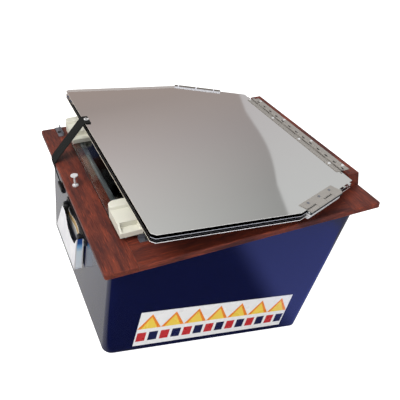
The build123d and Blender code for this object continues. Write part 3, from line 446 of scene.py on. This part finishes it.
nodeFinish = {
    "case": ["case_shell"],
    "lagging": ["insulation"],
    "blackSheet": ["oven_chamber"],
    "woodAlongY": ["low_board", "high_board"],
    "woodAlongX": ["front_board", "back_board"],
    "woodBlock": ["hinge_block"],
    "gasketSheen": ["door_gasket"],
    "glass": ["glass_door", "thermometer_lens"],
    "cream": ["front_latch", "back_latch"],
    "mirror": ["back_reflector"],
    "mirrorSecond": ["first_side_reflector"],
    "mirrorShadedEdges": ["front_reflector"],
    "mirrorLitEdges": ["second_side_reflector"],
    "blackScrew": ["stop_screws", "handle_screws"],
    "blackPlastic": ["strap_anchor", "handle_bail", "handle_plate", "leg_knob"],
    "galvanised": ["leg_bar", "leg_guide", "levelling_tray"],
    "stopSteel": ["glass_stops", "first_fold_hinge_rivets"],
    "leaf": [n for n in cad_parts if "hinge" in n and n.endswith(("leaf", "leaves", "clips"))],
}
placed = {n for names in nodeFinish.values() for n in names}
nodeFinish["bright"] = [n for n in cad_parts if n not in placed]  # pins, screws and what is left
for finish, names in nodeFinish.items():
    for name in names:
        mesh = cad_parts[name].data
        mesh.materials.clear()
        mesh.materials.append(finishes[finish])
print("finishes on the carried-over pieces")

# floor, backdrop and light
stageLook = {
    "floorHalf": 7.0, "floorColour": 0.82, "cameraLift": 0.80,
    "worldPlain": 0.56, "worldGlossy": (0.36, 0.335, 0.32, 1.0),
}
# what glossy surfaces see of the floor: pale at the low side, dark in front and blue towards the right,
# dim behind the case, and an even grey farther off
floorShown = {
    "frontEdge": (-0.194, -0.209), "front": (0.02, 0.02, 0.03, 1),
    "blueEdge": (0.14, 0.22), "blue": (0.25, 0.30, 0.92, 1),
    "paleEdge": (-0.15, -0.05), "paleLevel": 0.455, "paleSlope": 0.45, "paleRange": (0.34, 0.56),
    "paleTint": (0.985, 0.97), "behind": (0.05, 0.06, 0.14, 1),
    "limitY": (-0.54, -0.46), "limitX": (0.54, 0.46), "farOff": (0.30, 0.29, 0.28, 1),
}


def stagePlane(name, matName, half, z, down=False):  # a level square at height z, with its x and y
    corners = [(-half, -half, z), (half, -half, z), (half, half, z), (-half, half, z)]
    mesh = bpy.data.meshes.new(name)
    mesh.from_pydata(corners, [], [(0, 3, 2, 1) if down else (0, 1, 2, 3)])
    plane = bpy.data.objects.new(name, mesh)
    scene.collection.objects.link(plane)
    mat = bpy.data.materials.new(matName)
    mat.use_nodes = True
    mesh.materials.append(mat)
    tree = mat.node_tree
    tree.nodes.clear()
    x, y = xyz(tree, tree.nodes.new("ShaderNodeTexCoord").outputs["Object"])[:2]
    return plane, tree, x, y


def buildFloor():
    s = floorShown
    floor, tree, x, y = stagePlane("floor", "floorSweep", stageLook["floorHalf"], 0)
    path = tree.nodes.new("ShaderNodeLightPath")
    diffuse = shaderNode(tree, "BsdfDiffuse", grey(stageLook["floorColour"]))
    lifted = shaderNode(tree, "AddShader", diffuse, shaderNode(tree, "Emission", grey(1.0), stageLook["cameraLift"]))
    front = mixColour(tree, between(tree, x, *s["blueEdge"]), s["front"], s["blue"])
    level = held(tree, plus(tree, s["paleLevel"], times(tree, y, s["paleSlope"])), *s["paleRange"])
    pale = rgb(tree, level, times(tree, level, s["paleTint"][0]), times(tree, level, s["paleTint"][1]))
    behind = mixColour(tree, between(tree, x, *s["paleEdge"]), pale, s["behind"])
    shown = mixColour(tree, between(tree, y, *s["frontEdge"]), behind, front)
    nearBy = times(tree, between(tree, y, *s["limitY"]), between(tree, x, *s["limitX"]))
    shown = mixColour(tree, nearBy, s["farOff"], shown)
    plain = shaderNode(tree, "MixShader", path.outputs["Is Camera Ray"], diffuse, lifted)
    seen = shaderNode(tree, "MixShader", path.outputs["Is Glossy Ray"], plain, shaderNode(tree, "Emission", shown, 1.0))
    addNode(tree, "ShaderNodeOutputMaterial", {0: seen})


def buildWorld():
    world = bpy.data.worlds.new("studio")
    scene.world = world
    world.use_nodes = True
    tree = world.node_tree
    tree.nodes.clear()
    path = tree.nodes.new("ShaderNodeLightPath")
    plain = shaderNode(tree, "Background", grey(1.0), stageLook["worldPlain"])
    white = shaderNode(tree, "Background", grey(1.0), 1.0)
    warm = shaderNode(tree, "Background", stageLook["worldGlossy"], 1.0)
    seen = shaderNode(tree, "MixShader", path.outputs["Is Glossy Ray"], plain, warm)
    clear = mathNode(tree, "MAXIMUM", path.outputs["Is Camera Ray"], path.outputs["Is Transmission Ray"])
    seen = shaderNode(tree, "MixShader", clear, seen, white)
    addNode(tree, "ShaderNodeOutputWorld", {0: seen})


# a sheet overhead, which only polished surfaces show. Its pale part begins at a wavy line: x = lineX
# + slope (y - lineY) + waveReach sin(waveRate (y - waveFrom)), with y - waveFrom held to 0 ... waveSpan.
# On the other side its grey is dim + dimGain times the distance from the line, less so along dimFade
ceilingLook = {
    "half": 9.0, "height": 2.1, "lineX": 1.522, "lineY": 1.84, "slope": 0.337, "soft": 0.012,
    "waveFrom": 2.2, "waveSpan": 1.3, "waveRate": 3.1, "waveReach": 0.045,
    "dim": 0.322, "dimGain": 0.21, "dimReach": 1.4, "dimFade": (4.05, 2.0), "dimSpan": (2.0, 4.6),
    "dimTint": [(0.0, (1.0, 1.0, 0.985)), (0.45, (1.06, 0.955, 0.945)), (1.0, (1.14, 0.93, 0.85))],
    "paleSpan": (2.0, 3.6), "pale": [(0.0, (0.570, 0.575, 0.575)), (1.0, (0.525, 0.498, 0.505))],
}


def buildCeiling():
    s = ceilingLook
    ceiling, tree, x, y = stagePlane("ceiling", "ceiling", s["half"], s["height"], down=True)
    bend = held(tree, minus(tree, y, s["waveFrom"]), 0.0, s["waveSpan"])
    wave = times(tree, mathNode(tree, "SINE", times(tree, bend, s["waveRate"])), s["waveReach"])
    line = plus(tree, times(tree, minus(tree, y, s["lineY"]), s["slope"]), s["lineX"])
    beyond = minus(tree, x, plus(tree, line, wave))
    away = held(tree, times(tree, beyond, -1.0), 0.0, s["dimReach"])
    near = spread(tree, y, *s["dimFade"])
    level = plus(tree, s["dim"], times(tree, times(tree, away, near), s["dimGain"]))
    tint = ramp(tree, spread(tree, y, *s["dimSpan"]), s["dimTint"])
    dim = mixColour(tree, 1.0, rgb(tree, level, level, level), tint, "MULTIPLY")
    pale = ramp(tree, spread(tree, y, *s["paleSpan"]), s["pale"])
    shown = mixColour(tree, between(tree, beyond, -s["soft"], s["soft"]), dim, pale)
    addNode(tree, "ShaderNodeOutputMaterial", {0: shaderNode(tree, "Emission", shown, 1.0)})
    ceiling.visible_camera = ceiling.visible_diffuse = False
    ceiling.visible_shadow = ceiling.visible_transmission = False


softboxes = {  # places and sizes in metres, power in watts
    "keySoftbox": {"place": (-1.5, -0.55, 1.55), "aim": (-0.1, 0.0, 0.2), "size": (1.1, 1.1), "power": 33.0},
    "frontSoftbox": {"place": (0.8, -1.7, 1.2), "aim": (0.0, 0.0, 0.15), "size": (1.2, 0.9), "power": 12.0},
}


def buildSoftbox(name, look):
    light = bpy.data.lights.new(name, "AREA")
    light.shape = "RECTANGLE"
    light.size, light.size_y = look["size"]
    light.energy = look["power"]
    lamp = bpy.data.objects.new(name, light)
    scene.collection.objects.link(lamp)
    lamp.location = look["place"]
    lamp.rotation_euler = (Vector(look["aim"]) - Vector(look["place"])).to_track_quat("-Z", "Y").to_euler()
    lamp.visible_glossy = False


buildFloor()
buildWorld()
buildCeiling()
for name, look in softboxes.items():
    buildSoftbox(name, look)
print("floor, backdrop and light")

# the photograph's viewpoint, solved from the deck's corners
view = {
    "lens": 49.26, "sensor": 36.0, "place": (-0.46763, -0.81725, 0.67983),
    "right": (0.88793, -0.40262, 0.22242), "up": (0.02025, 0.51730, 0.85556),
}


def buildCamera():
    cam = bpy.data.cameras.new("photoView")
    cam.lens, cam.sensor_width, cam.sensor_fit = view["lens"], view["sensor"], "HORIZONTAL"
    obj = bpy.data.objects.new("photoView", cam)
    scene.collection.objects.link(obj)
    right = Vector(view["right"])
    back = right.cross(Vector(view["up"])).normalized()
    up = back.cross(right).normalized()
    turn = Matrix((right.normalized(), up, back)).transposed().to_4x4()
    obj.matrix_world = Matrix.Translation(view["place"]) @ turn
    scene.camera = obj


buildCamera()
scene.view_settings.view_transform = "Standard"
print("camera")


# mesh helpers
def gridFaces(rows, columns, closed=False):  # quads between neighbouring points of a grid
    wrap = columns if closed else columns - 1
    r, c = np.meshgrid(np.arange(rows - 1), np.arange(wrap), indexing="ij")
    n = (c + 1) % columns
    return np.stack([r * columns + c, r * columns + n, (r + 1) * columns + n, (r + 1) * columns + c], -1).reshape(-1, 4)


def newPiece(name, points, faces, body, material, uv, smooth=True):  # points in metres, u and v for each
    mesh = bpy.data.meshes.new(name)
    mesh.from_pydata(np.asarray(points).reshape(-1, 3).tolist(), [], [list(f) for f in faces])
    corners = np.empty(len(mesh.loops), int)
    mesh.loops.foreach_get("vertex_index", corners)
    layer = mesh.uv_layers.new(name="surface")
    layer.data.foreach_set("uv", np.asarray(uv).reshape(-1, 2)[corners].ravel())
    mesh.polygons.foreach_set("use_smooth", np.full(len(mesh.polygons), smooth))
    mesh.materials.append(material)
    mesh.update()
    piece = bpy.data.objects.new(name, mesh)
    scene.collection.objects.link(piece)
    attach(piece, body)
    return piece


# sticker on the front wall, in millimetres; the print's rows are in shares of its height
sticker = {
    "left": -150.0, "right": 150.0, "bottom": 12.0, "top": 92.0, "lift": 0.35, "rows": 12, "columns": 40,
    "triangles": 7.0, "peakFoot": 0.50, "peakHeight": 0.42, "innerSlope": 1.15, "innerDrop": 0.35,
    "blockMiddle": 0.26, "blockHalf": 0.13, "redBlock": (0.06, 0.44), "navyBlock": (0.56, 0.94),
    "white": (0.80, 0.80, 0.80, 1), "red": (0.52, 0.025, 0.03, 1), "navy": (0.010, 0.014, 0.07, 1),
    "orange": (0.80, 0.23, 0.02, 1), "yellow": (0.84, 0.60, 0.08, 1),
}


def stickerFinish():
    # a row of plain triangles over a row of blocks, all worked out from the sticker's own u and v
    s = sticker
    constants = {"Specular IOR Level": 0.5, "Coat Weight": 0.2, "Coat Roughness": 0.08}
    mat, tree, shader, where = newFinish("vinylPrint", constants)
    u, v = ownUv(tree)
    share = mathNode(tree, "FRACT", times(tree, u, s["triangles"]))  # 0 to 1 across a triangle and two blocks
    edges = (0.0, *s["redBlock"], *s["navyBlock"])
    stops = [(edge, s[colour]) for edge, colour in zip(edges, ("white", "red", "white", "navy", "white"))]
    limits = {0: v, 1: s["blockMiddle"], 2: s["blockHalf"]}
    inRow = addNode(tree, "ShaderNodeMath", limits, operation="COMPARE").outputs[0]
    blocks = mixColour(tree, inRow, s["white"], ramp(tree, share, stops, "CONSTANT"))
    peak = minus(tree, 1.0, mathNode(tree, "ABSOLUTE", minus(tree, times(tree, share, 2.0), 1.0)))
    level = mathNode(tree, "DIVIDE", minus(tree, v, s["peakFoot"]), s["peakHeight"])
    outer = mathNode(tree, "LESS_THAN", level, peak)
    inner = mathNode(tree, "LESS_THAN", level, minus(tree, times(tree, peak, s["innerSlope"]), s["innerDrop"]))
    peaks = mixColour(tree, outer, s["white"], mixColour(tree, inner, s["orange"], s["yellow"]))
    colour = mixColour(tree, mathNode(tree, "GREATER_THAN", v, s["peakFoot"]), blocks, peaks)
    smudges = rubMarks(tree, where, (200.0, 40.0, 200.0), 20.0)[1]
    feed(tree, shader, baseColor=colour, roughness=spread(tree, smudges, 0.3, 0.7, 0.22, 0.34))
    bumpFrom(tree, shader, smudges, 0.04, 0.0004)
    return mat


def buildSticker():
    # the wall's plane: y falls by the tangent of its lean for each unit of height
    s = sticker
    v, u = np.meshgrid(np.linspace(0, 1, s["rows"]), np.linspace(0, 1, s["columns"]), indexing="ij")
    z = s["bottom"] + (s["top"] - s["bottom"]) * v
    x = s["left"] + (s["right"] - s["left"]) * u
    y = -(planes["frontWallFoot"] + z * math.tan(math.radians(planes["frontLean"]))) - s["lift"]
    points = np.stack([x, y, z], -1) / 1000
    faces = gridFaces(s["rows"], s["columns"])
    piece = newPiece("frontSticker", points, faces, "case", stickerFinish(), np.stack([u, v], -1))


buildSticker()
print("sticker")

# webbing strap, in millimetres: its way up the low wall, round the deck's rim and over the stack's end
strap = {
    "y": 110.0, "width": 31.0, "thick": 1.5, "repeat": 0.4,  # metres of webbing in one unit of v
    "ribs": 12, "wefts": 420, "weftShift": 1.57, "hollow": (0.005, 0.005, 0.005, 1), "crown": (0.017, 0.018, 0.017, 1),
    "wall": [(4.5, 150.5), (6.5, 156.0)], "rim": [(-242.7, -8.5), (-242.7, -3.0)], "tailSteps": 40,
    "deck": [(-242.3, -0.2), (-236.0, 8.0)], "overSteps": 90,
    "stack": [(-395.0, -5.5), (-392.4, -2.4), (-389.5, -1.45), (-380.6, -1.5)],
}


def webbingFinish():
    # ribs along the band, crossed by weft that steps half a turn from rib to rib
    s = strap
    mat, tree, shader = newFinish("wovenWebbing", {"Specular IOR Level": 0.2, "Roughness": 0.72})[:3]
    u, v = ownUv(tree)
    ribs = mathNode(tree, "SINE", times(tree, u, 2 * math.pi * s["ribs"]))
    shift = times(tree, mathNode(tree, "SIGN", ribs), s["weftShift"])
    weft = mathNode(tree, "SINE", plus(tree, times(tree, v, 2 * math.pi * s["wefts"]), shift))
    height = plus(tree, times(tree, mathNode(tree, "ABSOLUTE", ribs), 0.6), times(tree, weft, 0.4))
    # painted shade: darker in the weave's hollows, lighter on its crowns
    shade = spread(tree, height, -0.4, 1.0)
    feed(tree, shader, baseColor=mixColour(tree, shade, s["hollow"], s["crown"]))
    bumpFrom(tree, shader, height, 0.7, 0.0005)
    return mat


def bandAlong(path, width, thick, steps):
    # a flat band along a smoothed path in the XZ plane: at each step, the path's point plus an oblong
    # section with rounded ends, its width along Y and its thickness square to the path
    knots = np.asarray(path, float)
    lengths = np.concatenate([[0], np.cumsum(np.linalg.norm(np.diff(knots, axis=0), axis=1))])
    t = np.linspace(0, lengths[-1], steps)
    line = np.stack([np.interp(t, lengths, knots[:, k]) for k in range(3)], 1)
    kernel = np.array([1, 2, 3, 2, 1]) / 9
    padded = np.concatenate([line[:1].repeat(2, 0), line, line[-1:].repeat(2, 0)])
    line[1:-1] = np.stack([np.convolve(padded[:, k], kernel, "valid") for k in range(3)], 1)[1:-1]
    ahead = np.gradient(line, axis=0)
    ahead /= np.linalg.norm(ahead, axis=1, keepdims=True)
    side = np.array([0.0, 1.0, 0.0]) - ahead * ahead[:, 1:2]
    side /= np.linalg.norm(side, axis=1, keepdims=True)
    out = np.cross(side, ahead)
    a = np.linspace(-math.pi / 2, math.pi / 2, 5)
    w, h = width / 2, thick / 2
    ringY = np.concatenate([w - h + h * np.cos(a), -(w - h) - h * np.cos(a)])
    ringZ = np.concatenate([h * np.sin(a), -h * np.sin(a)])
    n = len(ringY)
    points = line[:, None] + side[:, None] * ringY[None, :, None] / 1000 + out[:, None] * ringZ[None, :, None] / 1000
    u = (ringY / width + 0.5)[None].repeat(steps, 0)
    v = (t / strap["repeat"])[:, None].repeat(n, 1)
    faces = gridFaces(steps, n, closed=True).tolist()
    faces += [list(range(n))[::-1], list(range((steps - 1) * n, steps * n))]
    return points, faces, np.stack([u, v], -1)


def buildStrap():
    # the tail goes up the wall to the deck's rim, and the webbing from there over the stack's end
    webbing = webbingFinish()
    y = strap["y"]
    tail = [onLowWall(off, y, z) for off, z in strap["wall"]] + [onDeck(x, y, z) for x, z in strap["rim"]]
    points, faces, uv = bandAlong(tail, strap["width"], strap["thick"], strap["tailSteps"])
    piece = newPiece("strapTail", points, faces, "case", webbing, uv)
    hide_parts("strap_tail")
    over = [onDeck(x, y, z) for x, z in strap["deck"]] + [onStack(x, y, z) for x, z in strap["stack"]]
    points, faces, uv = bandAlong(over, strap["width"], strap["thick"], strap["overSteps"])
    piece = newPiece("strapWebbing", points, faces, "case", webbing, uv)
    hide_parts("strap_webbing")
    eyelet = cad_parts["strap_eyelet"]
    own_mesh(piece)
    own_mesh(eyelet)


buildStrap()
print("strap")

# card sleeve round the handle, in millimetres: near and far from the low wall, front and back along Y
sleeve = {
    "near": 2.4, "far": 15.3, "farFoot": 17.3, "foot": 72.0, "mouth": 141.0, "sheet": 0.7,
    "front": -63.0, "frontFoot": -56.5, "back": 50.0, "backFoot": 91.0, "rows": 24, "columns": 240,
    # heights of the mouth at shares of the way along each panel
    "outerAt": [0, 0.03, 0.08, 0.30, 0.50, 0.62, 0.72, 0.82, 1.0],
    "outerTop": [141, 138, 123, 119, 122, 129, 138, 141, 141],
    "innerAt": [0, 0.2, 0.36, 0.52, 0.66, 0.76, 0.85, 1.0],
    "innerTop": [126, 129, 136, 139.5, 137, 128, 121, 117],
    "backFall": 15.0, "jointFrom": 0.93, "jointTop": 116.0, "jointRise": 25.0,
}
cardLook = {  # stops are heights from foot to mouth, and limits are shares of the way round
    "tintFrom": (0.03, 0.05), "tintTo": (0.225, 0.20), "white": ((0.60, 0.60, 0.66, 1), (0.90, 0.885, 0.86, 1)),
    "tint": [
        (0.0, (0.84, 0.89, 0.94)), (0.60, (0.76, 0.88, 0.95)), (0.76, (0.22, 0.50, 0.80)),
        (0.86, (0.015, 0.09, 0.36)), (1.0, (0.006, 0.045, 0.23)),
    ],
    "kraftFrom": (0.80, 0.81), "kraft": ((0.36, 0.23, 0.10, 1), (0.60, 0.43, 0.22, 1)),
    # below the kraft: a painted highlight line, then painted shade from grey down to navy at the foot
    "liningLightAndShade": [
        (0.0, (0.015, 0.018, 0.07)), (0.50, (0.015, 0.018, 0.07)), (0.58, (0.38, 0.39, 0.42)),
        (0.765, (0.45, 0.48, 0.48)), (0.78, (0.92, 0.92, 0.89)), (0.80, (0.92, 0.92, 0.89)),
        (0.81, (0.45, 0.40, 0.30)),
    ],
}


def cardFinish():
    # white card, tinted blue towards the top of the front end, and darker and cooler in its creases as painted shade
    look = cardLook
    mat, tree, shader, where = newFinish("whiteCard", {"Specular IOR Level": 0.35})
    u, v = ownUv(tree)
    inside = times(tree, between(tree, u, *look["tintFrom"]), between(tree, u, *look["tintTo"]))
    tint = ramp(tree, v, look["tint"])
    scratches, creasesAndShade = rubMarks(tree, where, (60.0, 90.0, 30.0), 45.0)
    # painted shade: the creases turn the white towards a cool grey
    white = mixColour(tree, creasesAndShade, *look["white"])
    rough = spread(tree, scratches, 0.3, 0.7, 0.36, 0.5)
    feed(tree, shader, baseColor=mixColour(tree, inside, white, tint), roughness=rough)
    bumpFrom(tree, shader, creasesAndShade, 0.25, 0.0012)
    return mat


def liningFinish():
    # inside of the card: brown kraft band under the mouth, a painted highlight line, then painted shade going from grey
    # to navy towards the foot
    look = cardLook
    mat, tree, shader, where = newFinish("cardLining", {"Specular IOR Level": 0.25, "Roughness": 0.7})
    v = ownUv(tree)[1]
    fibres, blotches = rubMarks(tree, where, (260.0, 260.0, 260.0), 90.0)
    kraft = mixColour(tree, blotches, *look["kraft"])
    liningLightAndShade = ramp(tree, v, look["liningLightAndShade"])
    feed(tree, shader, baseColor=mixColour(tree, between(tree, v, *look["kraftFrom"]), liningLightAndShade, kraft))
    bumpFrom(tree, shader, fibres, 0.3, 0.0003)
    return mat


def buildSleeve():
    # a closed loop in plan (front end, outer panel, back end, inner panel), drawn as straight lines from
    # its foot to its mouth; the outer panel is scooped and the inner one rises in an arch by the wall
    s = sleeve
    near, foot, mouth = s["near"], s["foot"], s["mouth"]
    t = np.linspace(0, 1, s["columns"], endpoint=False)
    side = (t * 4).astype(int)
    f = t * 4 - side  # share of the way along each side
    still = 0 * f

    def loopInPlan(far, front, back):
        off = np.choose(side, [near + (far - near) * f, far + still, far - (far - near) * f, near + still])
        y = np.choose(side, [front + still, front + (back - front) * f, back + still, back - (back - front) * f])
        return off, y

    footOff, footY = loopInPlan(s["farFoot"], s["frontFoot"], s["backFoot"])
    mouthOff, mouthY = loopInPlan(s["far"], s["front"], s["back"])
    outerTop = np.interp(f, s["outerAt"], s["outerTop"])
    innerTop = np.interp(f, s["innerAt"], s["innerTop"])
    joint = s["jointTop"] + (f - s["jointFrom"]) / (1 - s["jointFrom"]) * s["jointRise"]
    innerTop = np.where(f > s["jointFrom"], joint, innerTop)
    top = np.choose(side, [mouth + still, outerTop, mouth - s["backFall"] * f, innerTop])
    kernel = np.hanning(9)[1:-1]
    top = np.convolve(np.concatenate([top[-3:], top, top[:3]]), kernel / kernel.sum(), "valid")
    rise = np.linspace(0, 1, s["rows"])[:, None]
    k = rise * (top[None] - foot) / (mouth - foot)
    points = onLowWall(footOff * (1 - k) + mouthOff * k, footY * (1 - k) + mouthY * k, foot + (mouth - foot) * k)
    uv = np.stack([np.broadcast_to(t, k.shape), np.broadcast_to(rise, k.shape)], -1)
    faces = gridFaces(s["rows"], s["columns"], closed=True)[:, ::-1]
    piece = newPiece("cardSleeve", points, faces, "handle", cardFinish(), uv)
    piece.data.materials.append(liningFinish())
    wall = piece.modifiers.new("card", "SOLIDIFY")
    wall.thickness, wall.offset, wall.material_offset = s["sheet"] / 1000, -1.0, 1
    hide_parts("card_sleeve")


buildSleeve()
print("card sleeve")

# narrow leaf and knuckles on the back slanted edge of the stack's top sheet, in millimetres on the stack
backLeaf = {
    "corner": (-150.4, 265.85), "base": (-3.4, 197.65), "start": 3.0, "end": 106.0, "rows": 24,
    "top": -2.6, "reach": 12.0, "outside": 1.0, "sheet": 0.9, "clear": 0.05,
    "barrel": 1.8, "barrelIn": 1.5, "barrelArc": (-10, 255), "barrelPoints": 24,  # the arc in degrees
    "knuckle": ((0.12, 0.105, 0.09, 1), (0.20, 0.18, 0.16, 1)), "pale": (0.72, 0.72, 0.76, 1),
    "leafFrom": (0.36, 0.42), "gapCount": 2.6, "gapAt": 0.22, "gapHalf": (0.04, 0.025),
}


def backLeafFinish():
    # u runs from the outside in: knuckles in painted shade, parted by gaps, then the leaf; gaps and leaf are painted
    # pale as light
    s = backLeaf
    mat, tree, shader, where = newFinish("backHingeSteel", {"Metallic": 0.2, "Roughness": 0.42})
    u, v = ownUv(tree)
    scratches, smudges = rubMarks(tree, where, (60.0, 60.0, 60.0), 30.0)
    knuckle = mixColour(tree, smudges, *s["knuckle"])
    share = mathNode(tree, "FRACT", times(tree, v, s["gapCount"]))
    # gaps where the knuckles' painted shade gives way to the pale of painted light
    gap = between(tree, mathNode(tree, "ABSOLUTE", minus(tree, share, s["gapAt"])), *s["gapHalf"])
    pale = mathNode(tree, "MAXIMUM", between(tree, u, *s["leafFrom"]), gap)
    feed(tree, shader, baseColor=mixColour(tree, pale, knuckle, s["pale"]))
    bumpFrom(tree, shader, scratches, 0.05, 0.0003)
    return mat


def buildBackLeaf():
    # a profile of the leaf and its barrel, which is part of a circle, drawn straight along the slanted
    # edge: each point is the corner plus its run along the edge, u inward and w up
    s = backLeaf
    corner, base = np.array(s["corner"]), np.array(s["base"])
    edge = (base - corner) / np.linalg.norm(base - corner)
    inward = np.array([edge[1], -edge[0]])
    r, rows = s["barrel"], s["rows"]
    a = np.linspace(*np.radians(s["barrelArc"]), s["barrelPoints"])
    u = np.concatenate([[s["reach"], s["reach"]], s["barrelIn"] + r * np.cos(a)])
    w = np.concatenate([[s["clear"], s["sheet"]], s["clear"] + r + r * np.sin(a)])
    w[2], w[-1] = s["sheet"], s["clear"]  # the barrel runs into the leaf above and closes below
    run = np.linspace(s["start"], s["end"], rows)[:, None]
    x = corner[0] + edge[0] * run + inward[0] * u
    y = corner[1] + edge[1] * run + inward[1] * u
    z = np.broadcast_to(s["top"] + w, x.shape)
    points = stackOrigin + (x[..., None] * stackX + y[..., None] * np.array([0.0, 1.0, 0.0])
                            + z[..., None] * stackUp) / 1000
    n = len(u)
    faces = gridFaces(rows, n, closed=True)[:, ::-1].tolist()
    faces += [list(range(n)), list(range((rows - 1) * n, rows * n))[::-1]]
    across = np.broadcast_to((u + s["outside"]) / (s["reach"] + s["outside"]), x.shape)
    along = np.broadcast_to((run - s["start"]) / (s["end"] - s["start"]), x.shape)
    uv = np.stack([across, along], -1)
    newPiece("backHingeLeaf", points, faces, "reflectors", backLeafFinish(), uv, smooth=False)


buildBackLeaf()
print("back hinge leaf")
